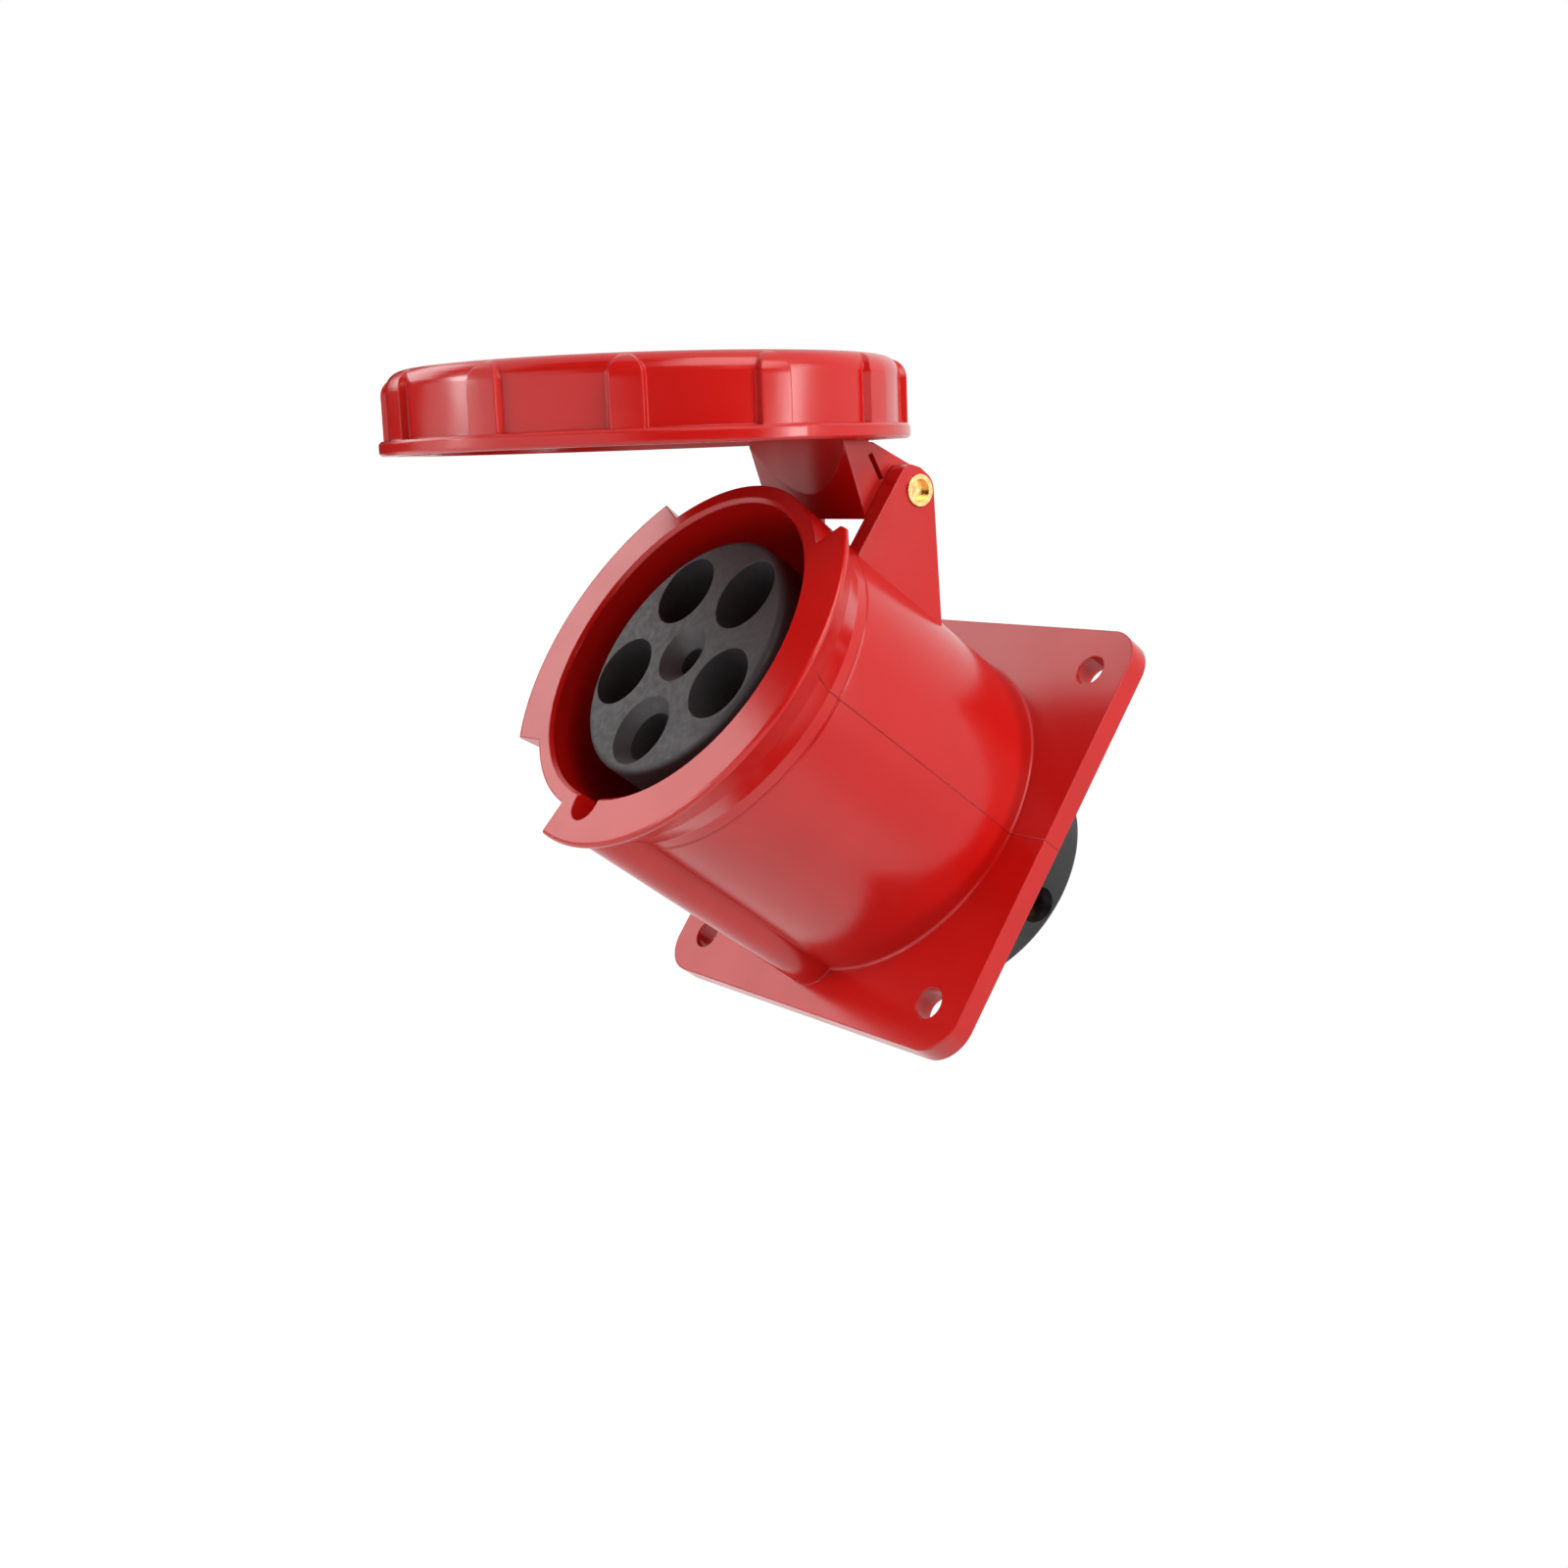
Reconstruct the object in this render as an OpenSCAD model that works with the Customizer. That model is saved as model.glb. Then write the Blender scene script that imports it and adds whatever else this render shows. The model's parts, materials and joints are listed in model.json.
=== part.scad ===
// Industrial panel socket: straight pattern, three phases, neutral, earth and pilot,
// with a hinged lid that a ribbed bayonet ring draws shut.
// Frame: seen from the front, X is to the right and Z is up. Y runs into the panel.
// The origin is the centre of the flange's back face, where it meets the panel.
// The sub-parts are drawn nose up: x to the right, y up, z out towards the plug.
// The last lines turn them so that the nose points along -Y.
// A clock angle starts at the top and runs clockwise seen from the front.

/* [Flange] */
// Thickness of the flange
flange_t = 5; // [4:0.5:7]
// Radius of the flange's corners
flange_corner_r = 8; // [5:1:10]
// Flange outside the panel seal's groove, at the middle of a side
flange_margin = 5.6; // [4.6:0.1:8]
// From the flange's edge to the centre of a fixing hole
fixing_inset = 10; // [8:0.5:11]
// Diameter of a fixing hole
fixing_hole_d = 7; // [5:0.5:8]

/* [Socket body] */
// Length from the flange's back face to the rim
socket_len = 75.7; // [72:0.1:84]
// Width of the ring-shaped plug space round the carrier's nose
plug_gap = 7.5; // [7.2:0.1:8]
// Wall of the tubular body
body_wall = 3.7; // [3.4:0.1:4.4]
// Draft of the body's radius, from the collar to the flange
body_draft = 0.6; // [0.2:0.1:1]
// How far the collar flares out from the body
collar_reach = 7.4; // [7:0.1:8]
// Length of the flare, up to the rim
collar_len = 12.9; // [12:0.1:14]
// Fillet between body and flange
base_fillet = 0.6; // [0.4:0.1:1.4]
// Width of the keyway at six o'clock
keyway_w = 8; // [6:0.5:9]
// How far the keyway reaches out from the bore
keyway_depth = 5.7; // [5:0.1:6]
// Wall of the ridge that houses the keyway
ridge_wall = 3.3; // [2.8:0.1:4]

/* [Bayonet] */
// Clock angle where the lower entry starts
low_entry_from = 192; // [190:1:196]
// Clock angle where the lower entry ends, at the collar's outside
low_entry_to = 236; // [232:1:240]
// Half angle of the upper entry on the right
top_entry_right = 50; // [48:1:53]
// Half angle of the upper entry on the left
top_entry_left = 42; // [38:1:46]
// How much wider an entry is at the outside, where a lug's end slants
entry_slant = 8.6; // [5:0.2:10]
// Angle that one ring lug covers
lug_span = 19; // [14:1:20]
// How far a ring lug hooks behind the collar
lug_hook = 4.2; // [3.8:0.1:4.6]

/* [Contact carrier] */
// Wall between a shroud hole and the nose's outside
shroud_wall = 1.6; // [1.4:0.1:2.2]
// How far the nose lies behind the rim
nose_recess = 3.3; // [2:0.1:6]
// Depth of the ring-shaped plug space, from the rim
plug_depth = 59.7; // [56:0.1:61]
// Diameter of the circle that the five contacts stand on
contact_circle_d = 36.6; // [36:0.2:37]
// Diameter of a contact's shroud hole
shroud_d = 16.2; // [15.4:0.2:16.6]
// Depth of a live contact's mouth behind the nose
live_recess = 14; // [11:0.5:16]
// Depth of the earth contact's mouth behind the nose
earth_recess = 11; // [8:0.5:12]
// Depth of the pilot contact's mouth behind the nose
pilot_recess = 19; // [16:0.5:21]

/* [Contacts] */
// Bore for a phase or neutral pin
live_bore_d = 8.1; // [8.02:0.02:8.2]
// Bore for the earth pin
earth_bore_d = 10.1; // [10.02:0.02:10.2]
// Bore for the pilot pin
pilot_bore_d = 6.1; // [6.02:0.02:6.2]
// Wall of a contact tube
contact_wall = 1.95; // [1.6:0.05:2.1]
// Depth of a live or earth contact's pin bore
pin_bore_len = 38; // [30:1:40]
// Width of the slots that make a contact's fingers
finger_slot = 1; // [0.6:0.1:1.2]
// Length of the slots
finger_len = 16; // [12:1:20]
// Diameter of a wire socket
wire_d = 8; // [7:0.2:8.2]

/* [Terminal block] */
// Wall of the terminal block outside the wire sockets
block_wall = 5.15; // [5:0.05:6]
// Length of the terminal block behind the flange
block_len = 27; // [26:0.5:34]
// Diameter of a terminal screw's access hole
access_d = 8.2; // [7.4:0.2:8.6]

/* [Hinge] */
// Distance across the outer faces of the two ears
ears_across = 42; // [41:0.5:44]
// Thickness of an ear
ear_t = 4.2; // [3.6:0.1:4.6]
// Gap between the lid's arm and each ear
hinge_gap = 0.3; // [0.3:0.05:0.6]
// Outer diameter of the hinge pin
pin_d = 5.5; // [5:0.1:5.8]
// Diameter of the pin's flared ends
pin_head_d = 6.7; // [6.4:0.1:7.2]
// Radius of the lid arm's barrel
barrel_r = 5.5; // [5:0.1:5.6]
// How far the pin lies behind the closed ring
pin_setback = 10.7; // [10.2:0.1:12]
// How far the pin lies outside the ring's rim
pin_rise = 0.7; // [0.5:0.1:1.4]

/* [Lid] */
// How far the lid stands open, from closed
open_angle = 53.2; // [0:0.1:180]
// Height of the bayonet ring
ring_h = 16; // [15.8:0.1:18]
// How far the closed ring reaches back over the collar
ring_overlap = 11.8; // [11.6:0.1:12]
// Wall from the collar's outside to the ring's outside
ring_wall = 4; // [3.8:0.1:5]
// How far the rim stands out from the ring's wall
rim_out = 2; // [1.8:0.1:3]
// Height of the rim at the ring's open end
rim_h = 2.8; // [2:0.1:3.4]
// Number of grip ribs
rib_count = 12; // [8:1:12]
// Width of a grip rib
rib_w = 7.2; // [5:0.2:8]
// How far a rib stands out from the wall
rib_out = 1.5; // [1:0.1:1.7]
// Clock angle of the first rib, with the ring open
rib_start = 6.3; // [0:0.1:29]
// Thickness of the ring's front lip
lip_t = 2; // [1.6:0.1:2.2]
// Opening in the ring's front lip
lip_opening_d = 83.4; // [82.8:0.2:86]
// Thickness of the lid's sealing ring
gasket_t = 2; // [1.6:0.1:2.1]

/* [Hidden] */
$fn = 96;

RED = "#c81e1a";
DARK = "#2c2b2d";
BRASS = "#d0a050";
STEEL = "#b8bac0";
RUBBER = "#1c1c1e";

eps = 1;                 // how far a cut runs past a face
slip = 0.1;              // gap round a piece that is pushed into place
snug = 0.05;             // gap between parts that are drawn up tight
run = 0.2;               // end play of the turning ring

// contact carrier, across
circle_r = contact_circle_d / 2;
shroud_r = shroud_d / 2;
nose_r = circle_r + shroud_r + shroud_wall;
nose_edge = 1.5;                // rounding of the nose's front edge

// socket body
mouth_r = nose_r + plug_gap;
body_front_r = mouth_r + body_wall;
body_base_r = body_front_r + body_draft;
collar_r = body_front_r + collar_reach;
flare_z = socket_len - collar_len;
flare_mid_z = flare_z + 0.4 * collar_len;   // the flare steepens here
flare_mid_r = body_front_r + 0.31 * collar_reach;
edge_r = 0.8;                   // rounding of the rim's edges
bead_z = flare_z - 2.8;         // fine groove round the body, behind the flare
bead_half = 0.35;
bead_depth = 0.3;
end_chamfer = 1;                // bevel on the collar's end, right of the lid
end_chamfer_turn = 1.4;
pocket_r = body_base_r;         // recess in the back face for the carrier's foot
pocket_depth = 3.4;
seal_in_r = pocket_r + 2;       // groove for the panel seal
seal_w = 2.6;
seal_depth = 2.4;
flange_side = 2 * (seal_in_r + seal_w + flange_margin);
fixing_pitch = flange_side - 2 * fixing_inset;
keyway_r = keyway_w / 2;
keyway_mid = mouth_r + keyway_depth - keyway_r;
ridge_r = keyway_r + ridge_wall;
ear_front = 6.05;               // from the pin to the ear's front face
ear_back_r = 4.05;              // from the pin to the ear's rounded back
ear_slope = 50.4;
ear_corner = 2.4;
ear_top_flat = 0.6;
ear_in_x = ears_across / 2 - ear_t;
ear_out_x = ears_across / 2;

// lid, in its closed place
ring_back_z = socket_len - ring_overlap;
ring_front_z = ring_back_z + ring_h;
wall_r = collar_r + ring_wall;
rim_r = wall_r + rim_out;
bore_front_r = collar_r + 1.6;  // the ring's bore tapers, to swing clear of the collar
bore_back_r = collar_r + 2.5;
taper_z = socket_len - 3.7;     // where the taper starts
snap_z = socket_len - 1;        // groove for the retaining ring
snap_w = 1.1;
snap_depth = 0.8;
snap_clear = 0.6;               // from the collar to the retaining ring
snap_gap = 5;                   // half angle of the retaining ring's split
lug_in_r = collar_r - lug_hook;
lug_play = 0.3;                 // radial gap between a locked lug and the flare
lug_top_z = flare_mid_z + (socket_len - flare_mid_z)
    * (lug_in_r - lug_play - flare_mid_r) / (collar_r - flare_mid_r);
lug_end_gap = 1.6;              // angle between the arm and the nearest lug
pin_z = ring_back_z - pin_setback;
pin_y = rim_r + pin_rise;
pin_r = pin_d / 2;
pin_dish_r = pin_r - 0.45;      // blind hole in each end of the pin
pin_dish_depth = 1.5;
pin_head_t = 0.5;
pin_fit = 0.03;                 // radial gap in the ears
pin_run = 0.08;                 // radial gap in the lid's arm
arm_half = ear_in_x - hinge_gap;
arm_in_r = body_front_r + 1.4;
arm_out_r = collar_r + 0.2;
arm_wall_z = ring_back_z - 0.4; // the arm's front wall stands behind the ring
arm_wall_y = pin_y - 8.6;
arm_low_front = sqrt(arm_in_r * arm_in_r - arm_half * arm_half);
arm_low_back = arm_in_r + 1.8;
arm_skin = 3.6;                 // walls round the pockets in the arm's back
arm_side = 3;
arm_rib = 1.5;                  // half the middle rib between the pockets
slit_in = 7.8;                  // slit in the arm's flank: place, size and lean
slit_ahead = 5.2;
slit_len = 6;
slit_w = 1.2;
slit_deep = 3.5;
slit_lean = 28.4;
rim_edge = 0.5;
wall_round = 3.5;               // rounding of the ring's front edge
rib_flank = 0.6;
rib_top = 0.6;
rib_round = 4;
lip_z = ring_front_z - lip_t;
cover_front_z = lip_z - run;
cover_dish = 1.45;              // recess in the cover's back, over the mouth
plateau_edge = 0.6;
cover_back_z = socket_len + 0.35;
gasket_z = socket_len + run;
cover_r = bore_front_r - 0.4;
plateau_r = lip_opening_d / 2 - 0.4;
plateau_z = ring_front_z - 0.4;
gasket_in_r = mouth_r + 0.6;
gasket_out_r = body_front_r - 0.3;
lug_right_from = asin(arm_half / lug_in_r) + lug_end_gap;
lug_left_from = lug_right_from + 180;

// contact carrier, along the axis
nose_z = socket_len - nose_recess;
plug_floor_z = socket_len - plug_depth;
foot_r = pocket_r - slip - snug;
joint_z = 0.2;                  // where carrier and terminal block meet
screw_r = 1.65;
screw_head_r = 3;
screw_head_z = joint_z + 0.2;
screw_head_top = pocket_depth - 1.6;
screw_bite = 9;
post_r = 3.1;                   // post in the bore for a carrier screw
post_dist = circle_r + shroud_r + screw_head_r + 4;
post_top = plug_floor_z - run;
post_clocks = [75, 125, 235, 285];
seal_r = 0.7;                   // section of the carrier's sealing ring
carrier_seal_r = pocket_r - 1.7;
earth_throat_r = earth_bore_d / 2 + 0.55;
pilot_throat_r = pilot_bore_d / 2 + 0.1;
earth_cone = 2.8;
pilot_cone = 3.2;
pilot_mouth_r = 6.7;

// contacts: clock angle, bore radius, mouth height, length of the pin bore
live_z = nose_z - live_recess;
earth_z = nose_z - earth_recess;
pilot_z = nose_z - pilot_recess;
L1 = [-108, live_bore_d / 2, live_z, pin_bore_len];
L2 = [-36, live_bore_d / 2, live_z, pin_bore_len];
L3 = [36, live_bore_d / 2, live_z, pin_bore_len];
NEUTRAL = [108, live_bore_d / 2, live_z, pin_bore_len];
EARTH = [180, earth_bore_d / 2, earth_z, pin_bore_len];
LIVES = [L1, L2, L3, NEUTRAL];
RING = concat(LIVES, [EARTH]);
PILOT = [0, pilot_bore_d / 2, pilot_z, pin_bore_len * 0.7];
contact_collar = 1.4;           // step that is clamped between carrier and block
contact_collar_t = 2;
contact_web = 5;                // solid metal between the clamped step and the wire socket
barrel_wall = 2.75;             // wall round a wire socket
wire_r = wire_d / 2;
pilot_wire_r = 2.2;
wire_lead = 0.6;                // how much wider the block's hole is than the wire socket
mouth_bevel = 0.8;              // bevel that guides a pin in
terminal_end = 1.5;             // from the block's back face to a contact's end
terminal_screw_z = -(block_len - 5.6);
terminal_screw_r = 2.6;
terminal_screw_out = 1.6;       // how far a terminal screw stands out of its barrel
pilot_screw_r = 1.5;
pilot_screw_out = 3;
pilot_access_r = 2.1;
thread_gap = 0.02;
slot_w = 1.1;                   // driver slot of a terminal screw
slot_depth = 1.4;
spring_h = 2;
spring_t = 0.5;
spring_back = 6;                // from a contact's mouth to its spring
spring_split = 1.2;

// terminal block
block_r = circle_r + wire_r + barrel_wall + block_wall;
block_edge = 1.2;
block_screw_dist = circle_r + 5.2;
block_screw_clocks = [72, 144, 216, 288];
block_screw_r = 1.85;
block_screw_hole_r = 2.1;
block_screw_bite = 12;
block_head_r = 3.5;
block_head_t = 3;
block_head_in = 1;              // from the block's back face to a screw head
cross_w = 0.9;                  // driver cross of a screw head
cross_depth = 1.2;

function polar(r, clock) = [r * sin(clock), r * cos(clock)];
function contact_r(c) = c[1] + contact_wall;
function arc(cx, cy, r, from, to, n = 6) =
    [for (i = [0 : n]) let (a = from + (to - from) * i / n) [cx + r * cos(a), cy + r * sin(a)]];

// ---------------------------------------------------------------- helpers

// cylinder between two heights
module disc(r, z0, z1) {
    translate([0, 0, z0]) cylinder(r = r, h = z1 - z0);
}

module tube(r_out, r_in, z0, z1) {
    difference() {
        disc(r_out, z0, z1);
        disc(r_in, z0 - eps, z1 + eps);
    }
}

// wedge of less than a half turn, out to radius r
module wedge(r, from, to, z0, z1) {
    mid = (from + to) / 2;
    translate([0, 0, z0]) linear_extrude(z1 - z0)
        polygon([[0, 0], polar(2 * r, from), polar(2 * r, mid), polar(2 * r, to)]);
}

module sector(r_out, r_in, from, to, z0, z1) {
    intersection() {
        tube(r_out, r_in, z0, z1);
        wedge(r_out, from, to, z0 - eps, z1 + eps);
    }
}

// puts children at a clock angle and radius, turned to face outwards
module at_clock(r, clock) {
    rotate([0, 0, -clock]) translate([0, r, 0]) children();
}

// polygon in the (y, z) plane, drawn out evenly to both sides of x = 0
module side_profile(points, half) {
    translate([-half, 0, 0]) rotate([90, 0, 90]) linear_extrude(2 * half) polygon(points);
}

module cross_rod(r, half) {
    translate([-half, pin_y, pin_z]) rotate([0, 90, 0]) cylinder(r = r, h = 2 * half);
}

// turns a piece of the closed lid about the hinge pin, to where it stands
module lid_swing() {
    translate([0, pin_y, pin_z]) rotate([-open_angle, 0, 0]) translate([0, -pin_y, -pin_z])
        children();
}

// nose of the socket to the front
module to_front() {
    rotate([90, 0, 0]) children();
}

// ---------------------------------------------------------------- housing

module flange_plate() {
    half = flange_side / 2;
    c = half - flange_corner_r;
    linear_extrude(flange_t) union() {
        square([flange_side, 2 * c], center = true);
        square([2 * c, flange_side], center = true);
        for (x = [-c, c], y = [-c, c]) translate([x, y]) circle(r = flange_corner_r);
    }
}

module fixing_holes() {
    h = fixing_pitch / 2;
    for (x = [-h, h], y = [-h, h]) translate([x, y, 0])
        disc(fixing_hole_d / 2, -eps, flange_t + eps);
}

// turned body with its base fillet, and the collar that flares out to the rim
module body_turning() {
    fillet_r = body_base_r + base_fillet;
    rotate_extrude() polygon(concat(
        [[0, 0], [fillet_r, 0]],
        arc(fillet_r, flange_t + base_fillet, base_fillet, 270, 180),
        [[body_front_r, bead_z - bead_half], [body_front_r - bead_depth, bead_z],
            [body_front_r, bead_z + bead_half],
            [body_front_r, flare_z], [flare_mid_r, flare_mid_z]],
        arc(collar_r - edge_r, socket_len - edge_r, edge_r, -30, 90),
        [[0, socket_len]]));
}

// cuts the flare away down to the body, inside an outline
module entry(outline) {
    from_z = flare_z - eps;
    difference() {
        translate([0, 0, from_z]) linear_extrude(socket_len + eps - from_z) polygon(outline);
        disc(body_front_r, from_z - eps, socket_len + 2 * eps);
    }
}

// gap in the collar that lets a ring lug in, with a slanted end
module low_entry() {
    far = 2 * collar_r;
    low = body_front_r - 1;
    entry([polar(low, low_entry_from), polar(far, low_entry_from), polar(far, low_entry_to),
        polar(collar_r, low_entry_to), polar(low, low_entry_to - entry_slant)]);
}

// wide upper gap, which also takes the lid's arm
module top_entry() {
    far = 2 * collar_r;
    low = body_front_r - 1;
    bevel_from = top_entry_right + end_chamfer_turn;
    entry([polar(low, entry_slant * 0.6 - top_entry_left), polar(collar_r, -top_entry_left),
        polar(far, -top_entry_left), polar(far, bevel_from), polar(collar_r, bevel_from),
        polar(collar_r - end_chamfer, top_entry_right), polar(low, top_entry_right)]);
}

// ridge below the body that houses the keyway
module keyway_ridge() {
    length = socket_len - 2 * edge_r;
    translate([0, -keyway_mid, 0]) {
        disc(ridge_r, 0, length);
        translate([-ridge_r, 0, 0]) cube([2 * ridge_r, keyway_mid, length]);
    }
}

// one hinge ear: upright front, rounded top, back edge sloping down to the body
module ear() {
    foot_y = body_front_r * 0.75 - pin_y;
    corner_y = ear_back_r - ear_corner - ear_top_flat;
    tangent = [ear_back_r * sin(ear_slope), ear_back_r * cos(ear_slope)];
    run_down = (tangent[1] - foot_y) / tan(ear_slope);
    outline = concat(
        [[foot_y, ear_front], [corner_y, ear_front]],
        [for (a = [15 : 15 : 75]) [corner_y + ear_corner * sin(a), ear_front - ear_corner * (1 - cos(a))]],
        [[ear_back_r, ear_front - ear_corner - 2 * ear_top_flat]],
        [for (a = [0 : 10 : ear_slope]) [ear_back_r * cos(a), -ear_back_r * sin(a)]],
        [[foot_y, -(tangent[0] + run_down)]]);
    translate([0, pin_y, pin_z]) rotate([90, 0, 90]) linear_extrude(ear_t) polygon(outline);
}

module ears() {
    translate([ear_in_x, 0, 0]) ear();
    translate([-ear_out_x, 0, 0]) ear();
}

// bore, mouth chamfer and the recess in the back face
module housing_bore() {
    rotate_extrude() polygon([
        [0, -eps], [pocket_r, -eps], [pocket_r, pocket_depth], [mouth_r, pocket_depth],
        [mouth_r, socket_len - edge_r], [mouth_r + edge_r, socket_len],
        [mouth_r + edge_r, socket_len + eps], [0, socket_len + eps]]);
}

module keyway() {
    translate([0, -keyway_mid, 0]) {
        disc(keyway_r, plug_floor_z, socket_len + eps);
        translate([-keyway_r, 0, plug_floor_z]) cube([keyway_w, keyway_mid, plug_depth + eps]);
    }
}

// posts for the carrier's screws, standing in the bore and partly in its wall
module posts(r, from, to) {
    for (c = post_clocks) at_clock(post_dist, c) disc(r, from, to);
}

module housing() {
    color(RED) difference() {
        union() {
            difference() {
                union() {
                    flange_plate();
                    difference() {
                        body_turning();
                        low_entry();
                        top_entry();
                    }
                    keyway_ridge();
                    ears();
                }
                housing_bore();
            }
            posts(post_r, pocket_depth, post_top);
        }
        keyway();
        fixing_holes();
        tube(seal_in_r + seal_w, seal_in_r, -eps, seal_depth);
        cross_rod(pin_r + pin_fit, ear_out_x + eps);
        for (c = post_clocks) at_clock(post_dist, c)
            disc(screw_r + snug, pocket_depth - eps, pocket_depth + screw_bite + 1);
    }
}

// ---------------------------------------------------------------- contact carrier

module carrier_turning() {
    boss_r = mouth_r - slip - snug;
    groove = seal_r + snug;
    rotate_extrude() polygon(concat(
        [[0, joint_z], [foot_r, joint_z], [foot_r, pocket_depth],
            [carrier_seal_r + groove, pocket_depth], [carrier_seal_r + groove, pocket_depth - 2 * groove],
            [carrier_seal_r - groove, pocket_depth - 2 * groove], [carrier_seal_r - groove, pocket_depth],
            [boss_r, pocket_depth], [boss_r, plug_floor_z], [nose_r, plug_floor_z]],
        arc(nose_r - nose_edge, nose_z - nose_edge, nose_edge, 0, 90),
        [[0, nose_z]]));
}

// hole for a live contact: wide shroud, then the tube's seat
module live_hole(c) {
    disc(shroud_r, c[2] - finger_len + 6, nose_z + eps);
    disc(contact_r(c) + slip, -eps, nose_z);
}

// earth and pilot holes: funnel, throat, then the tube's seat
module funnel_hole(c, mouth, throat, depth) {
    seat_r = contact_r(c) + slip;
    rotate_extrude() polygon([
        [0, -eps], [seat_r, -eps], [seat_r, c[2] + snug], [throat, c[2] + snug],
        [throat, nose_z - depth], [mouth, nose_z], [mouth, nose_z + eps], [0, nose_z + eps]]);
}

module contact_carrier() {
    color(DARK) difference() {
        carrier_turning();
        for (c = LIVES) at_clock(circle_r, c[0]) live_hole(c);
        at_clock(circle_r, EARTH[0]) funnel_hole(EARTH, shroud_r, earth_throat_r, earth_cone);
        funnel_hole(PILOT, pilot_mouth_r, pilot_throat_r, pilot_cone);
        posts(post_r + slip, pocket_depth - snug, plug_floor_z + eps);
        for (c = post_clocks) at_clock(post_dist, c) {
            disc(screw_r + run, -eps, pocket_depth + eps);
            disc(screw_head_r + run, -eps, screw_head_top);
        }
        for (c = block_screw_clocks) at_clock(block_screw_dist, c)
            disc(block_screw_r + snug, -eps, block_screw_bite + 1);
    }
}

module carrier_screws() {
    color(STEEL) for (c = post_clocks) at_clock(post_dist, c) difference() {
        union() {
            disc(screw_head_r, screw_head_z, screw_head_top);
            disc(screw_r, screw_head_z, pocket_depth + screw_bite);
        }
        cross_slot(screw_head_r, screw_head_z, cross_depth / 2);
    }
}

// crossed driver slots, cut into a head that faces down
module cross_slot(r, z, depth) {
    reach = 0.65 * r;
    for (a = [0, 90]) rotate([0, 0, a]) translate([-reach, -cross_w / 2, z - eps])
        cube([2 * reach, cross_w, depth + eps]);
}

// sealing ring in the groove of the carrier's foot
module carrier_seal() {
    color(RUBBER) translate([0, 0, pocket_depth - snug - seal_r]) rotate_extrude()
        translate([carrier_seal_r, 0]) circle(r = seal_r, $fn = 24);
}

module panel_seal() {
    color(RUBBER) tube(seal_in_r + seal_w - slip, seal_in_r + slip, 0, seal_depth);
}

// ---------------------------------------------------------------- terminal block

module block_turning() {
    rotate_extrude() polygon(concat(
        [[0, joint_z], [0, -block_len]],
        arc(block_r - block_edge, block_edge - block_len, block_edge, 270, 360),
        [[block_r, joint_z]]));
}

// room for a contact's clamped collar and its terminal barrel, with the wire's way in
module contact_room(c, wire) {
    disc(contact_r(c) + contact_collar + slip, -contact_collar_t - snug, joint_z + eps);
    disc(wire + barrel_wall + slip, terminal_end - block_len - snug, joint_z);
    disc(wire + wire_lead, -block_len - eps, 0);
}

// straight hole from the side of the block to a terminal screw
// the outer pair runs level with its contacts, the others run up or down
module access(c, r, from, to) {
    p = c == PILOT ? [0, 0] : polar(circle_r, c[0]);
    level = abs(p[0]) > circle_r * 0.8;
    dir = level ? [0, sign(p[0]) * 90, 0] : [p[1] < 0 ? 90 : -90, 0, 0];
    translate([p[0], p[1], terminal_screw_z]) rotate(dir) translate([0, 0, from])
        cylinder(r = r, h = to - from);
}

module terminal_block() {
    head_top = block_head_in + block_head_t - block_len;
    color(DARK) difference() {
        block_turning();
        for (c = RING) at_clock(circle_r, c[0]) contact_room(c, wire_r);
        contact_room(PILOT, pilot_wire_r);
        for (c = RING) access(c, access_d / 2, 0, 2 * block_r);
        access(PILOT, pilot_access_r, 0, 2 * block_r);
        for (c = block_screw_clocks) at_clock(block_screw_dist, c) {
            disc(block_screw_hole_r, -block_len - eps, joint_z + eps);
            disc(block_head_r + run, -block_len - eps, head_top);
        }
    }
}

module block_screws() {
    head_z = block_head_in - block_len;
    color(STEEL) for (c = block_screw_clocks) at_clock(block_screw_dist, c) difference() {
        union() {
            disc(block_head_r, head_z, head_z + block_head_t);
            disc(block_screw_r, head_z, block_screw_bite);
        }
        cross_slot(block_head_r, head_z, cross_depth);
    }
}

// ---------------------------------------------------------------- contacts

// slotted tube in front, clamped collar, and a drilled terminal barrel behind
module contact(c, wire) {
    r = contact_r(c);
    mouth = c[2];
    end = terminal_end - block_len;
    spring_z = mouth - spring_back;
    difference() {
        union() {
            disc(r, -contact_collar_t, mouth);
            disc(r + contact_collar, -contact_collar_t, 0);
            disc(wire + barrel_wall, end, -contact_collar_t);
        }
        disc(c[1], mouth - c[3], mouth + eps);
        translate([0, 0, mouth - mouth_bevel])
            cylinder(r1 = c[1], r2 = c[1] + mouth_bevel + slip, h = mouth_bevel + slip);
        disc(wire, end - eps, -contact_collar_t - contact_web);
        for (a = [45, 135]) rotate([0, 0, a])
            translate([-r - eps, -finger_slot / 2, mouth - finger_len])
                cube([2 * r + 2 * eps, finger_slot, finger_len + eps]);
        tube(r + eps, r - spring_t, spring_z, spring_z + spring_h);
    }
}

// contact standing on the contact circle, with its terminal screw's hole drilled
module ring_contact(c) {
    color(BRASS) difference() {
        at_clock(circle_r, c[0]) contact(c, wire_r);
        access(c, terminal_screw_r, 0, 2 * block_r);
    }
}

module contact_l1() ring_contact(L1);
module contact_l2() ring_contact(L2);
module contact_l3() ring_contact(L3);
module contact_neutral() ring_contact(NEUTRAL);
module contact_earth() ring_contact(EARTH);

module contact_pilot() {
    color(BRASS) difference() {
        contact(PILOT, pilot_wire_r);
        access(PILOT, pilot_screw_r, 0, 2 * block_r);
    }
}

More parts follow.
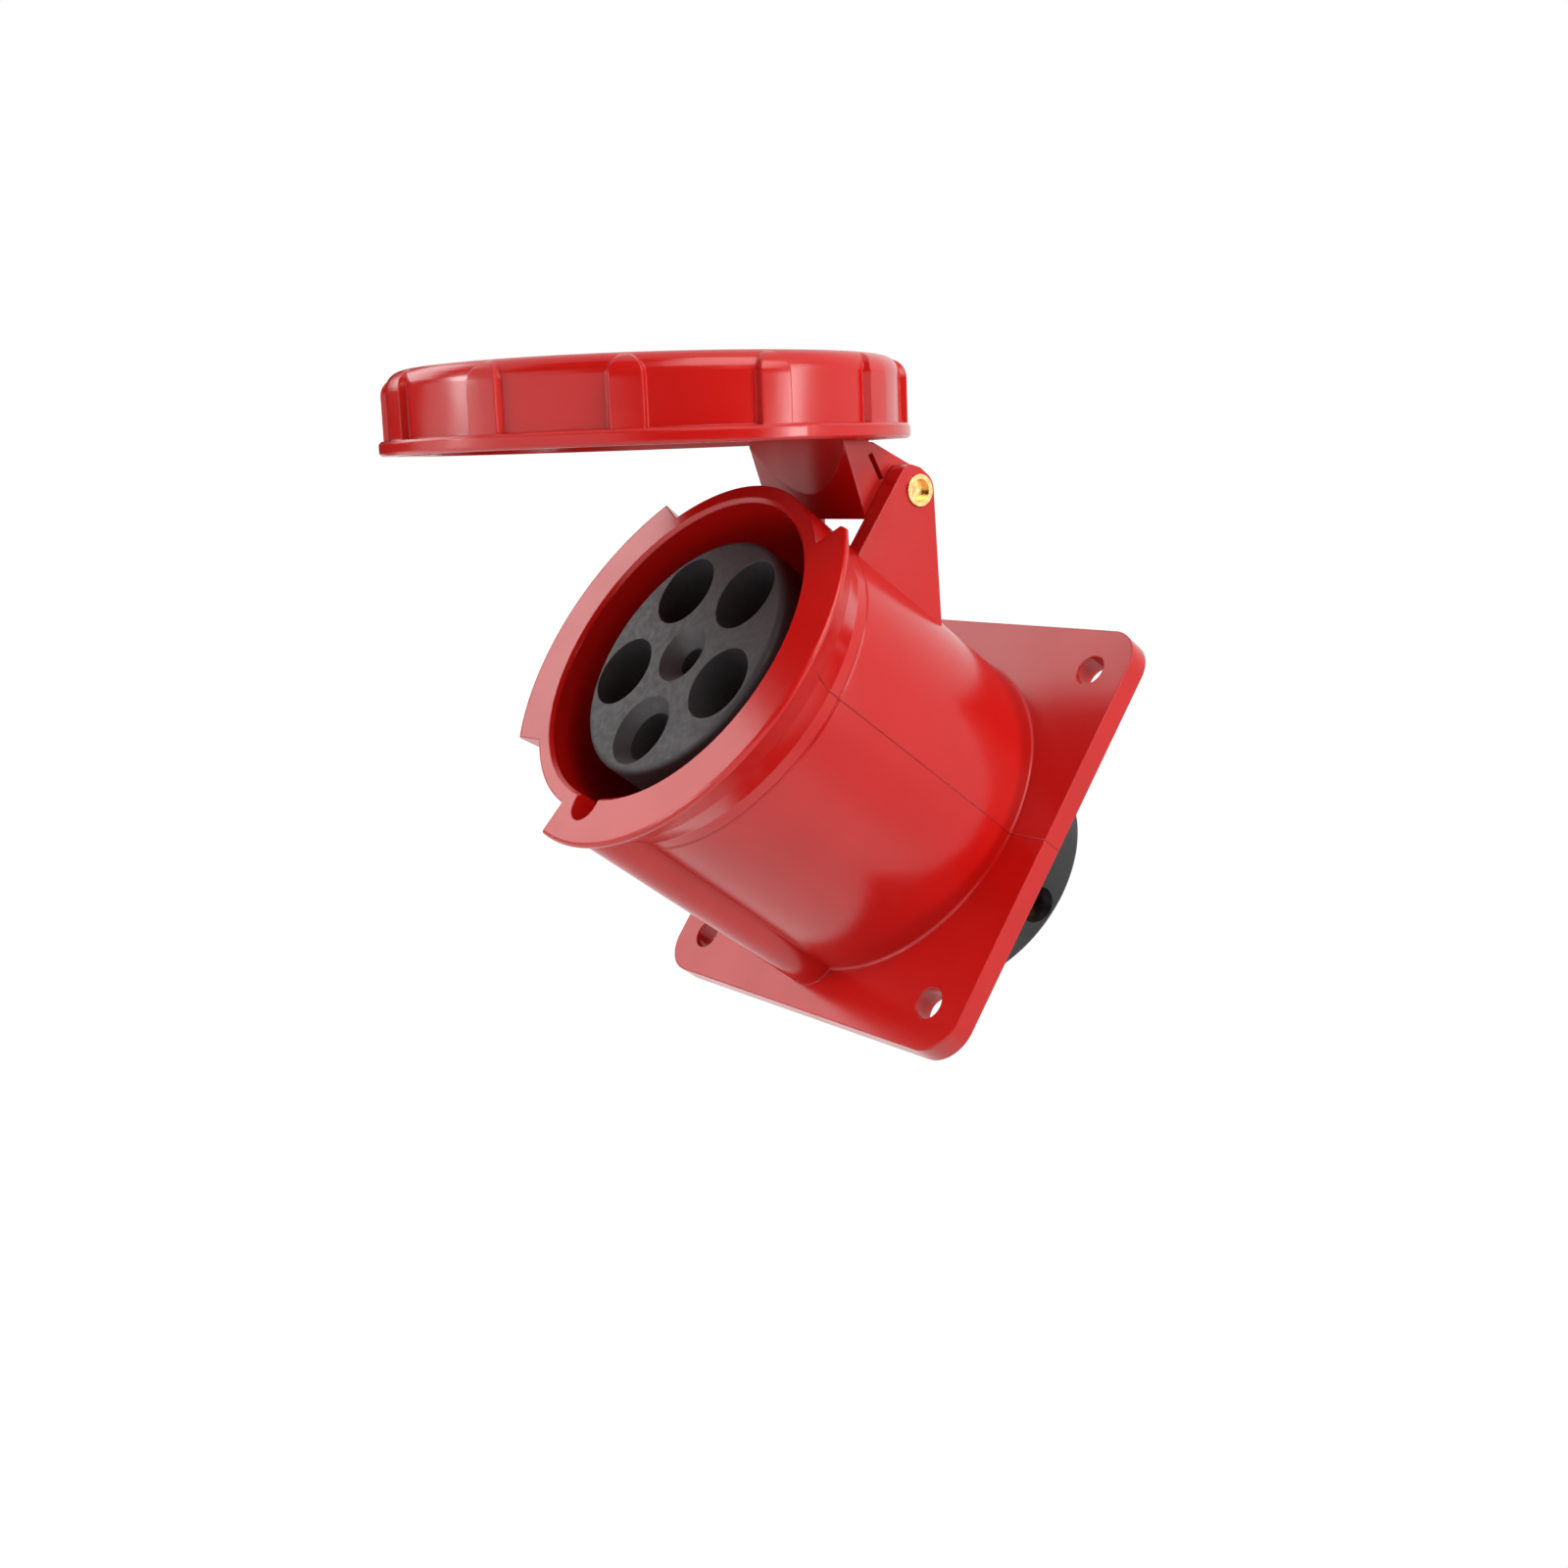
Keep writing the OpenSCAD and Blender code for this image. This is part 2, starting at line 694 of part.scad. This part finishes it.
// split steel ring that presses a contact's fingers together
module finger_spring(c) {
    r = contact_r(c);
    z = c[2] - spring_back;
    difference() {
        tube(r - thread_gap, r - spring_t + thread_gap, z + slip, z + spring_h - slip);
        translate([0, -spring_split / 2, z]) cube([r + eps, spring_split, spring_h]);
    }
}

module contact_springs() {
    color(STEEL) {
        for (c = RING) at_clock(circle_r, c[0]) finger_spring(c);
        finger_spring(PILOT);
    }
}

// slotted screw in the wall of a wire socket
module terminal_screw(c, wire, r, out) {
    head = wire + barrel_wall + out;
    p = c == PILOT ? [0, 0] : polar(circle_r, c[0]);
    difference() {
        access(c, r - thread_gap, wire + run, head);
        intersection() {
            access(c, r, head - slot_depth, head + eps);
            translate([p[0], p[1], terminal_screw_z])
                cube([4 * block_r, 4 * block_r, slot_w], center = true);
        }
    }
}

module terminal_screws() {
    color(STEEL) {
        for (c = RING) terminal_screw(c, wire_r, terminal_screw_r, terminal_screw_out);
        terminal_screw(PILOT, pilot_wire_r, pilot_screw_r, pilot_screw_out);
    }
}

// ---------------------------------------------------------------- hinge and lid

// rod riveted over at both ends, with a blind hole in each
module hinge_pin() {
    end_x = ear_out_x + thread_gap + pin_head_t;
    color(BRASS) difference() {
        union() {
            cross_rod(pin_r, end_x);
            for (s = [-1, 1]) translate([s * (end_x - pin_head_t / 2), pin_y, pin_z])
                rotate([0, 90, 0]) cylinder(r = pin_head_d / 2, h = pin_head_t, center = true);
        }
        for (s = [-1, 1]) translate([s * end_x, pin_y, pin_z])
            rotate([0, 90, 0]) cylinder(r = pin_dish_r, h = 2 * pin_dish_depth, center = true);
    }
}

// disc that closes the mouth: flange under the ring's lip, raised face in its opening
module cover_disc() {
    spigot_r = mouth_r - 0.9;
    dish_r = mouth_r - 5;
    difference() {
        rotate_extrude() polygon([
            [0, cover_back_z + cover_dish], [spigot_r, cover_back_z + cover_dish], [spigot_r, cover_back_z],
            [cover_r, cover_back_z], [cover_r, cover_front_z], [plateau_r, cover_front_z],
            [plateau_r, plateau_z - plateau_edge], [plateau_r - plateau_edge, plateau_z],
            [dish_r + 1, plateau_z], [dish_r, plateau_z - plateau_edge], [0, plateau_z - plateau_edge]]);
        tube(gasket_out_r + snug, gasket_in_r - snug, cover_back_z - eps, gasket_z + gasket_t);
    }
}

// strap from the disc, under the ring and out at its back
module cover_strap() {
    from_z = arm_wall_z - 0.4;
    intersection() {
        tube(arm_out_r, arm_in_r, from_z, cover_back_z + edge_r);
        translate([-arm_half, 0, from_z]) cube([2 * arm_half, 2 * arm_out_r, ring_h]);
    }
}

// block between the ears: slanted front wall, sloping underside, upright back
module arm_block() {
    drop = pin_y - arm_wall_y;
    ahead = arm_wall_z - pin_z;
    lean = asin(barrel_r / norm([drop, ahead])) + atan2(drop, ahead);
    difference() {
        union() {
            side_profile([
                [pin_y, pin_z - barrel_r], [arm_low_back, pin_z - barrel_r],
                [arm_low_front, arm_wall_z], [arm_wall_y, arm_wall_z],
                [pin_y + barrel_r * cos(lean), pin_z + barrel_r * sin(lean)]], arm_half);
            cross_rod(barrel_r, arm_half);
        }
        disc(arm_in_r, pin_z - 2 * barrel_r, ring_front_z);
    }
}

// pockets in the arm's back, either side of a middle rib, and a slit in each flank
module arm_lightening() {
    low = arm_in_r + arm_skin;
    width = arm_half - arm_side - arm_rib;
    for (s = [-1, 1]) {
        translate([s > 0 ? arm_rib : -arm_rib - width, low, pin_z - 2 * barrel_r])
            cube([width, pin_y - barrel_r - run - low, 3 * barrel_r]);
        translate([s * arm_half, pin_y - slit_in, pin_z + slit_ahead]) rotate([slit_lean, 0, 0])
            cube([2 * slit_deep, slit_w, slit_len], center = true);
    }
}

module lid_cover() {
    color(RED) lid_swing() difference() {
        union() {
            cover_disc();
            cover_strap();
            arm_block();
        }
        arm_lightening();
        cross_rod(pin_r + pin_run, ear_out_x);
    }
}

module lid_gasket() {
    color(RUBBER) lid_swing() tube(gasket_out_r, gasket_in_r, gasket_z, gasket_z + gasket_t);
}

// turned ring: rim, wall with a rounded front edge, lip, tapered bore and snap groove
module ring_turning() {
    bore_r = bore_front_r;
    opening_r = lip_opening_d / 2;
    rim_z = ring_back_z + rim_h;
    rotate_extrude() polygon(concat(
        [[bore_back_r, ring_back_z], [rim_r - rim_edge, ring_back_z], [rim_r, ring_back_z + rim_edge],
            [rim_r, rim_z - rim_edge], [rim_r - rim_edge, rim_z], [wall_r, rim_z]],
        arc(wall_r - wall_round, ring_front_z - wall_round, wall_round, 0, 90, 8),
        [[opening_r + rim_edge, ring_front_z], [opening_r, ring_front_z - rim_edge],
            [opening_r, lip_z], [bore_r, lip_z],
            [bore_r, snap_z + snap_w], [bore_r + snap_depth, snap_z + snap_w],
            [bore_r + snap_depth, snap_z], [bore_r, snap_z], [bore_r, taper_z]]));
}

// upright grip rib with a domed top and sloping flanks
module rib_blank() {
    half = rib_w / 2;
    foot = half + 2 * rib_flank;
    crest = half - rib_flank;
    top = ring_front_z - rib_top - half;
    bottom = ring_back_z + rim_h - rim_edge;
    inner = wall_r - 5;
    reach = wall_r + rib_out - inner;
    translate([0, inner, top]) rotate([-90, 0, 0]) cylinder(r1 = foot, r2 = crest, h = reach);
    translate([0, 0, bottom]) linear_extrude(top - bottom)
        polygon([[-foot, inner], [foot, inner], [crest, inner + reach], [-crest, inner + reach]]);
}

module ribs() {
    r = wall_r + rib_out;
    root_r = bore_back_r + edge_r / 2;
    intersection() {
        for (i = [0 : rib_count - 1]) rotate([0, 0, -rib_start - i * 360 / rib_count]) rib_blank();
        rotate_extrude() polygon(concat(
            [[root_r, ring_back_z], [r, ring_back_z]],
            arc(r - rib_round, ring_front_z - rib_top / 2 - rib_round, rib_round, 0, 80, 8),
            [[bore_front_r - edge_r, ring_front_z - rib_top], [root_r, cover_back_z]]));
    }
}

module bayonet_ring() {
    color(RED) lid_swing() {
        ring_turning();
        ribs();
        for (a = [lug_right_from, lug_left_from])
            sector(bore_back_r + run, lug_in_r, a, a + lug_span, ring_back_z, lug_top_z);
    }
}

// split ring snapped into the bayonet ring, behind the cover
module retaining_ring() {
    color(STEEL) lid_swing() difference() {
        tube(bore_front_r + snap_depth - slip, collar_r + snap_clear, snap_z + snug, snap_z + snap_w - snug);
        wedge(wall_r, 180 - snap_gap, 180 + snap_gap, snap_z - eps, snap_z + snap_w + eps);
    }
}

to_front() housing();
to_front() contact_carrier();
to_front() terminal_block();
to_front() contact_l1();
to_front() contact_l2();
to_front() contact_l3();
to_front() contact_neutral();
to_front() contact_earth();
to_front() contact_pilot();
to_front() contact_springs();
to_front() terminal_screws();
to_front() block_screws();
to_front() carrier_screws();
to_front() carrier_seal();
to_front() panel_seal();
to_front() hinge_pin();
to_front() lid_cover();
to_front() lid_gasket();
to_front() bayonet_ring();
to_front() retaining_ring();
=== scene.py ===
"""Industrial panel socket: materials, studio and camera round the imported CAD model.

Everything is in metres in the part's own frame: +X to the right seen from the front,
+Y into the panel, +Z up, and the origin at the centre of the flange's back face.
"""
import json
import math

import bpy
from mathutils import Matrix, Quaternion, Vector


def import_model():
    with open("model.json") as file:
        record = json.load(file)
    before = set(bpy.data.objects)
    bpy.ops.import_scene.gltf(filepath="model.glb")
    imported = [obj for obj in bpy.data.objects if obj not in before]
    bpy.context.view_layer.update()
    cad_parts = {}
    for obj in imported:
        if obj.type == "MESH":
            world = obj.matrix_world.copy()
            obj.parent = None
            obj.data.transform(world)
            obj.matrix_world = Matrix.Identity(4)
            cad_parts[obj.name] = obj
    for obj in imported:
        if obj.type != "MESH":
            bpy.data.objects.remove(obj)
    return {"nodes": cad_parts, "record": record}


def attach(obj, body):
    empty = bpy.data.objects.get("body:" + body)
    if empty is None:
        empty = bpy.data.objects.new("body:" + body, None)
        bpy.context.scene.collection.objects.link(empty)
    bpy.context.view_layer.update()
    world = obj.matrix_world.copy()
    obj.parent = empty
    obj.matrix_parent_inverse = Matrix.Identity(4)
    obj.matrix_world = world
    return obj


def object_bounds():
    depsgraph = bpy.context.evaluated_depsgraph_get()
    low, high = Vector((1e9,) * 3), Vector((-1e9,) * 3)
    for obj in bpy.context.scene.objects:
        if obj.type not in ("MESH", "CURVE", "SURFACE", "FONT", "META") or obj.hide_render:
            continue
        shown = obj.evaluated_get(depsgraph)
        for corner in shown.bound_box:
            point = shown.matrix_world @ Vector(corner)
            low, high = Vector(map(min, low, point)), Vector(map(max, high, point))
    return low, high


MM = 0.001

# Camera: the photograph looks up at the socket from the right, with the camera rolled.
CAMERA_AT = Vector((317.7, -263.6, -95.6)) * MM
CAMERA_AIM = Vector((-18.0, -21.1, -4.8)) * MM
CAMERA_ROLL = 27.4          # degrees
LENS = 42.5                 # mm, for the sensor below
SENSOR_WIDTH = 36           # mm
CLIP_NEAR, CLIP_FAR = 0.01, 20

# Housing, in mm: half section of the body and collar, as radius and distance in front of the panel
FLANGE_HALF, FLANGE_FRONT = 50.0, 5.0
BODY_FOOT = (40.4, 5.0)
BODY_PROFILE = ((39.8, 5.6), (39.2, 62.8), (41.49, 67.96), (46.6, 75.2))
PARTING_LINE = 0.14         # half width of the raised line where the mould closed

# Studio. Directions are right, up and towards the camera in the picture, and sizes are in metres.
FLOOR_DROP = 260 * MM       # from the part's centre to the floor
FLOOR_HALF = 6.0
FLOOR_GLOW = 0.78           # brings the floor up to white where it is seen
WORLD_LEVEL = 0.30          # light from all round
LIGHT_DISTANCE = 0.62
SOFT_BOXES = (              # name, direction, size, watts
    ("key_box", (0.42, 0.61, 0.67), (0.4, 0.4), 2.3),
    ("left_strip", (-0.93, 0.1, 0.3), (0.1, 0.35), 2.0),
    ("right_strip", (0.83, 0.05, 0.5), (0.08, 0.35), 1.3),
    ("left_box", (-0.76, 0.59, -0.29), (0.3, 0.4), 1.1),
)
FLAG_DISTANCE = 0.8
FLAGS = (                   # black cards that only reflections see: name, direction, size
    ("front_flag", (0, 0, 1), (3.0, 3.0)),
    ("low_flag", (0, -0.97, 0.2), (2.0, 1.2)),
    ("left_flag", (-0.8, 0.2, -0.4), (1.2, 1.2)),
)
SQUARE = ((-1, -1), (1, -1), (1, 1), (-1, 1))
WHITE = (1, 1, 1, 1)
STAGE_MOTTLE = 2            # scale of the faint noise on floor and flags
STAGE_ROUGHNESS = 0.9

# Colours, linear
RED = (0.56, 0.0065, 0.0045)
CHARCOAL = (0.040, 0.037, 0.039)
BLACK_PLASTIC = (0.014, 0.013, 0.015)
BRASS, BRASS_TARNISH = (0.86, 0.56, 0.24), (0.76, 0.44, 0.16)
STEEL, STEEL_DULL = (0.58, 0.58, 0.60), (0.46, 0.46, 0.45)
RUBBER, RUBBER_BLOOM = (0.012, 0.012, 0.013), (0.024, 0.024, 0.025)
FLOOR_PALE, FLOOR_SHADE = (0.9,) * 3, (0.88,) * 3
FLAG_BLACK, FLAG_SHADE = (0.01,) * 3, (0.008,) * 3

# Where most of a noise texture's values lie
NOISE_SPREAD = (0.35, 0.65)


# ---------------------------------------------------------------- materials


class Shader:
    """A Principled material with helpers for the nodes that these materials share."""

    def __init__(self, name, color, roughness, metallic=0.0):
        self.material = bpy.data.materials.new(name)
        self.material.use_nodes = True
        self.tree = self.material.node_tree
        self.shader = self.tree.nodes["Principled BSDF"]
        self.set("Base Color", (*color, 1))
        self.set("Roughness", roughness)
        self.set("Metallic", metallic)
        self.place = self.node("ShaderNodeTexCoord").outputs["Object"]

    def set(self, socket, value):
        self.shader.inputs[socket].default_value = value

    def node(self, kind, **inputs):
        made = self.tree.nodes.new(kind)
        for key, value in inputs.items():
            made.inputs[key.replace("_", " ")].default_value = value
        return made

    def link(self, output, target):
        self.tree.links.new(output, target)

    def noise(self, scale, detail=2.0, stretch=None):
        made = self.node("ShaderNodeTexNoise", Scale=scale, Detail=detail)
        place = self.place
        if stretch:
            mapping = self.node("ShaderNodeMapping", Scale=stretch)
            self.link(place, mapping.inputs["Vector"])
            place = mapping.outputs["Vector"]
        self.link(place, made.inputs["Vector"])
        return made.outputs["Fac"]

    def remap(self, value, low, high):
        """Noise spread out between two values."""
        least, most = NOISE_SPREAD
        made = self.node("ShaderNodeMapRange", From_Min=least, From_Max=most,
                         To_Min=low, To_Max=high)
        self.link(value, made.inputs["Value"])
        return made.outputs["Result"]

    def vary_roughness(self, value, low, high):
        self.link(self.remap(value, low, high), self.shader.inputs["Roughness"])

    def vary_color(self, value, a, b):
        mix = self.node("ShaderNodeMix")
        mix.data_type = "RGBA"
        mix.inputs["A"].default_value = (*a, 1)
        mix.inputs["B"].default_value = (*b, 1)
        self.link(self.remap(value, 0, 1), mix.inputs["Factor"])
        self.link(mix.outputs["Result"], self.shader.inputs["Base Color"])

    def relief(self, value, distance, strength, edge):
        """Bump from a texture, laid over edges softened to a radius."""
        bump = self.node("ShaderNodeBump", Strength=strength, Distance=distance)
        bevel = self.node("ShaderNodeBevel", Radius=edge)
        self.link(value, bump.inputs["Height"])
        self.link(bevel.outputs["Normal"], bump.inputs["Normal"])
        self.link(bump.outputs["Normal"], self.shader.inputs["Normal"])


def darker(color, share):
    return [c * share for c in color]


def red_plastic():
    """Glossy moulded polyamide: a faint flow pattern in its gloss, and softened edges."""
    s = Shader("red_plastic", RED, roughness=0.22)
    s.set("Specular IOR Level", 0.45)
    s.set("Subsurface Weight", 0.06)
    s.set("Subsurface Radius", (0.004, 0.0006, 0.0004))
    s.set("Subsurface Scale", 1.0)
    s.vary_color(s.noise(scale=45), RED, darker(RED, 0.93))
    s.vary_roughness(s.noise(scale=90, detail=4), low=0.19, high=0.24)
    s.relief(s.noise(scale=260, detail=3), distance=0.08 * MM, strength=0.3, edge=0.5 * MM)
    return s.material


def charcoal_plastic():
    """Insert: fine matt grain from the spark-eroded mould."""
    s = Shader("charcoal_plastic", CHARCOAL, roughness=0.55)
    s.set("Specular IOR Level", 0.42)
    s.vary_color(s.noise(scale=120), CHARCOAL, darker(CHARCOAL, 0.85))
    s.vary_roughness(s.noise(scale=700, detail=3), low=0.46, high=0.62)
    s.relief(s.noise(scale=2600, detail=4), distance=0.06 * MM, strength=0.8, edge=0.4 * MM)
    return s.material


def black_plastic():
    """Terminal block: darker and smoother than the insert."""
    s = Shader("black_plastic", BLACK_PLASTIC, roughness=0.4)
    s.set("Specular IOR Level", 0.4)
    s.vary_color(s.noise(scale=80), BLACK_PLASTIC, darker(BLACK_PLASTIC, 0.8))
    s.vary_roughness(s.noise(scale=400, detail=3), low=0.34, high=0.5)
    s.relief(s.noise(scale=1500, detail=3), distance=0.05 * MM, strength=0.6, edge=0.4 * MM)
    return s.material


def brass():
    """Turned brass, with fine lines round the hinge pin and the contacts."""
    s = Shader("brass", BRASS, roughness=0.22, metallic=1.0)
    lines = s.noise(scale=1800, detail=2, stretch=(1, 0.1, 1))
    s.vary_color(s.noise(scale=300, detail=4), BRASS, BRASS_TARNISH)
    s.vary_roughness(s.noise(scale=900, detail=3), low=0.16, high=0.34)
    s.relief(lines, distance=0.04 * MM, strength=0.4, edge=0.2 * MM)
    return s.material


def steel():
    """Zinc-plated screws and rings."""
    s = Shader("steel", STEEL, roughness=0.3, metallic=1.0)
    s.vary_color(s.noise(scale=500, detail=3), STEEL, STEEL_DULL)
    s.vary_roughness(s.noise(scale=1200, detail=3), low=0.24, high=0.42)
    s.relief(s.noise(scale=2400, detail=2), distance=0.03 * MM, strength=0.5, edge=0.2 * MM)
    return s.material


def rubber():
    """Seals: dull, with a trace of bloom."""
    s = Shader("rubber", RUBBER, roughness=0.7)
    s.vary_color(s.noise(scale=200, detail=4), RUBBER, RUBBER_BLOOM)
    s.vary_roughness(s.noise(scale=900, detail=3), low=0.6, high=0.8)
    s.relief(s.noise(scale=3000, detail=3), distance=0.04 * MM, strength=0.6, edge=0.2 * MM)
    return s.material


MATERIAL_OF_SLOT = {
    "red_plastic": red_plastic,
    "dark_plastic": charcoal_plastic,
    "brass": brass,
    "steel": steel,
    "rubber": rubber,
}


def dress_nodes(frame):
    """Gives every CAD node the material of its slot; the terminal block is blacker."""
    made = {slot: make() for slot, make in MATERIAL_OF_SLOT.items()}
    made["black_plastic"] = black_plastic()
    for entry in frame["record"]["subparts"]:
        slot = "black_plastic" if entry["node"] == "terminal_block" else entry["material_slot"]
        node = frame["nodes"][entry["node"]]
        node.data.materials.clear()
        node.data.materials.append(made[slot])
    return made


# ---------------------------------------------------------------- parting line


def add_parting_line(made):
    """Fine raised line down the right of the housing and across the flange."""
    route = [(FLANGE_HALF, 0.0), (FLANGE_HALF, FLANGE_FRONT), BODY_FOOT, *BODY_PROFILE]
    data = bpy.data.curves.new("parting_line", "CURVE")
    data.dimensions = "3D"
    data.bevel_depth = PARTING_LINE * MM
    spline = data.splines.new("POLY")
    spline.points.add(len(route) - 1)
    for point, (x, front) in zip(spline.points, route):
        point.co = (x * MM, -front * MM, 0, 1)
    line = bpy.data.objects.new("parting_line", data)
    bpy.context.scene.collection.objects.link(line)
    data.materials.append(made["red_plastic"])
    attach(line, "socket")


# ---------------------------------------------------------------- studio


def look(at, aim, roll=0.0):
    """Rotation that looks from one point to another, with a roll in degrees."""
    turn = (aim - at).to_track_quat("-Z", "Y")
    return turn @ Quaternion((0, 0, 1), math.radians(roll))


def add_camera():
    """Camera at the photograph's angle."""
    data = bpy.data.cameras.new("camera")
    data.lens = LENS
    data.sensor_width = SENSOR_WIDTH
    data.clip_start, data.clip_end = CLIP_NEAR, CLIP_FAR
    camera = bpy.data.objects.new("camera", data)
    camera.location = CAMERA_AT
    camera.rotation_mode = "QUATERNION"
    camera.rotation_quaternion = look(CAMERA_AT, CAMERA_AIM, CAMERA_ROLL)
    bpy.context.scene.collection.objects.link(camera)
    bpy.context.scene.camera = camera
    return camera


def place(made, camera, direction, distance):
    """Stands an object off in a direction of the picture and turns it to the part."""
    toward = camera.rotation_quaternion @ Vector(direction).normalized()
    made.location = CAMERA_AIM + toward * distance
    made.rotation_mode = "QUATERNION"
    made.rotation_quaternion = look(made.location, CAMERA_AIM)
    bpy.context.scene.collection.objects.link(made)


def add_lights(camera):
    for name, direction, size, watts in SOFT_BOXES:
        data = bpy.data.lights.new(name, "AREA")
        data.shape = "RECTANGLE"
        data.size, data.size_y = size
        data.energy = watts
        place(bpy.data.objects.new(name, data), camera, direction, LIGHT_DISTANCE)


def card(name, width, height, z=0.0):
    """Level rectangle about the vertical axis, as a mesh object."""
    mesh = bpy.data.meshes.new(name)
    rim = [(x * width / 2, y * height / 2, z) for x, y in SQUARE]
    mesh.from_pydata(rim, [], [(0, 1, 2, 3)])
    return bpy.data.objects.new(name, mesh)


def stage_shader(name, color, shade):
    s = Shader(name, color, STAGE_ROUGHNESS)
    s.vary_color(s.noise(STAGE_MOTTLE), color, shade)
    return s


def add_flags(camera):
    """Black cards that keep glossy faces turned to them deep in colour."""
    for name, direction, size in FLAGS:
        flag = card(name, *size)
        place(flag, camera, direction, FLAG_DISTANCE)
        flag.visible_camera = flag.visible_diffuse = False
        flag.visible_transmission = flag.visible_shadow = False
        flag.data.materials.append(stage_shader(name, FLAG_BLACK, FLAG_SHADE).material)


def white_where_seen(tree, target, lit):
    """The target to the camera, reflections and refractions, and what is lit elsewhere."""
    path = tree.nodes.new("ShaderNodeLightPath")
    seen = path.outputs["Is Camera Ray"]
    for other in ("Is Glossy Ray", "Is Transmission Ray"):
        either = tree.nodes.new("ShaderNodeMath")
        either.operation = "MAXIMUM"
        tree.links.new(seen, either.inputs[0])
        tree.links.new(path.outputs[other], either.inputs[1])
        seen = either.outputs["Value"]
    mix = tree.nodes.new("ShaderNodeMixShader")
    tree.links.new(seen, mix.inputs["Fac"])
    tree.links.new(lit, mix.inputs[1])
    tree.links.new(target, mix.inputs[2])
    return mix.outputs["Shader"]


def add_world():
    """Pale surround: white where it is seen, dimmer as light on the object."""
    world = bpy.data.worlds.new("studio")
    bpy.context.scene.world = world
    world.use_nodes = True
    tree = world.node_tree
    dim = tree.nodes["Background"]
    dim.inputs["Color"].default_value = WHITE
    dim.inputs["Strength"].default_value = WORLD_LEVEL
    white = tree.nodes.new("ShaderNodeBackground")
    white.inputs["Color"].default_value = WHITE
    white.inputs["Strength"].default_value = 1.0
    mixed = white_where_seen(tree, white.outputs["Background"], dim.outputs["Background"])
    tree.links.new(mixed, tree.nodes["World Output"].inputs["Surface"])


def add_floor(centre):
    """Plain pale floor, well below the part, which hangs on its panel mount."""
    floor = card("floor", 2 * FLOOR_HALF, 2 * FLOOR_HALF, centre.z - FLOOR_DROP)
    bpy.context.scene.collection.objects.link(floor)
    s = stage_shader("floor", FLOOR_PALE, FLOOR_SHADE)
    s.set("Specular IOR Level", 0.0)
    glow = s.node("ShaderNodeEmission", Color=WHITE, Strength=FLOOR_GLOW)
    both = s.node("ShaderNodeAddShader")
    lit = s.shader.outputs["BSDF"]
    s.link(lit, both.inputs[0])
    s.link(glow.outputs["Emission"], both.inputs[1])
    mixed = white_where_seen(s.tree, both.outputs["Shader"], lit)
    s.link(mixed, s.tree.nodes["Material Output"].inputs["Surface"])
    floor.data.materials.append(s.material)


# ---------------------------------------------------------------- the scene


def main():
    bpy.ops.wm.read_factory_settings(use_empty=True)
    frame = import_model()
    cad_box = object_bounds()
    bpy.context.scene.view_settings.view_transform = "Standard"
    made = dress_nodes(frame)
    add_parting_line(made)
    camera = add_camera()
    add_lights(camera)
    add_flags(camera)
    add_world()
    add_floor((cad_box[0] + cad_box[1]) / 2)


main()
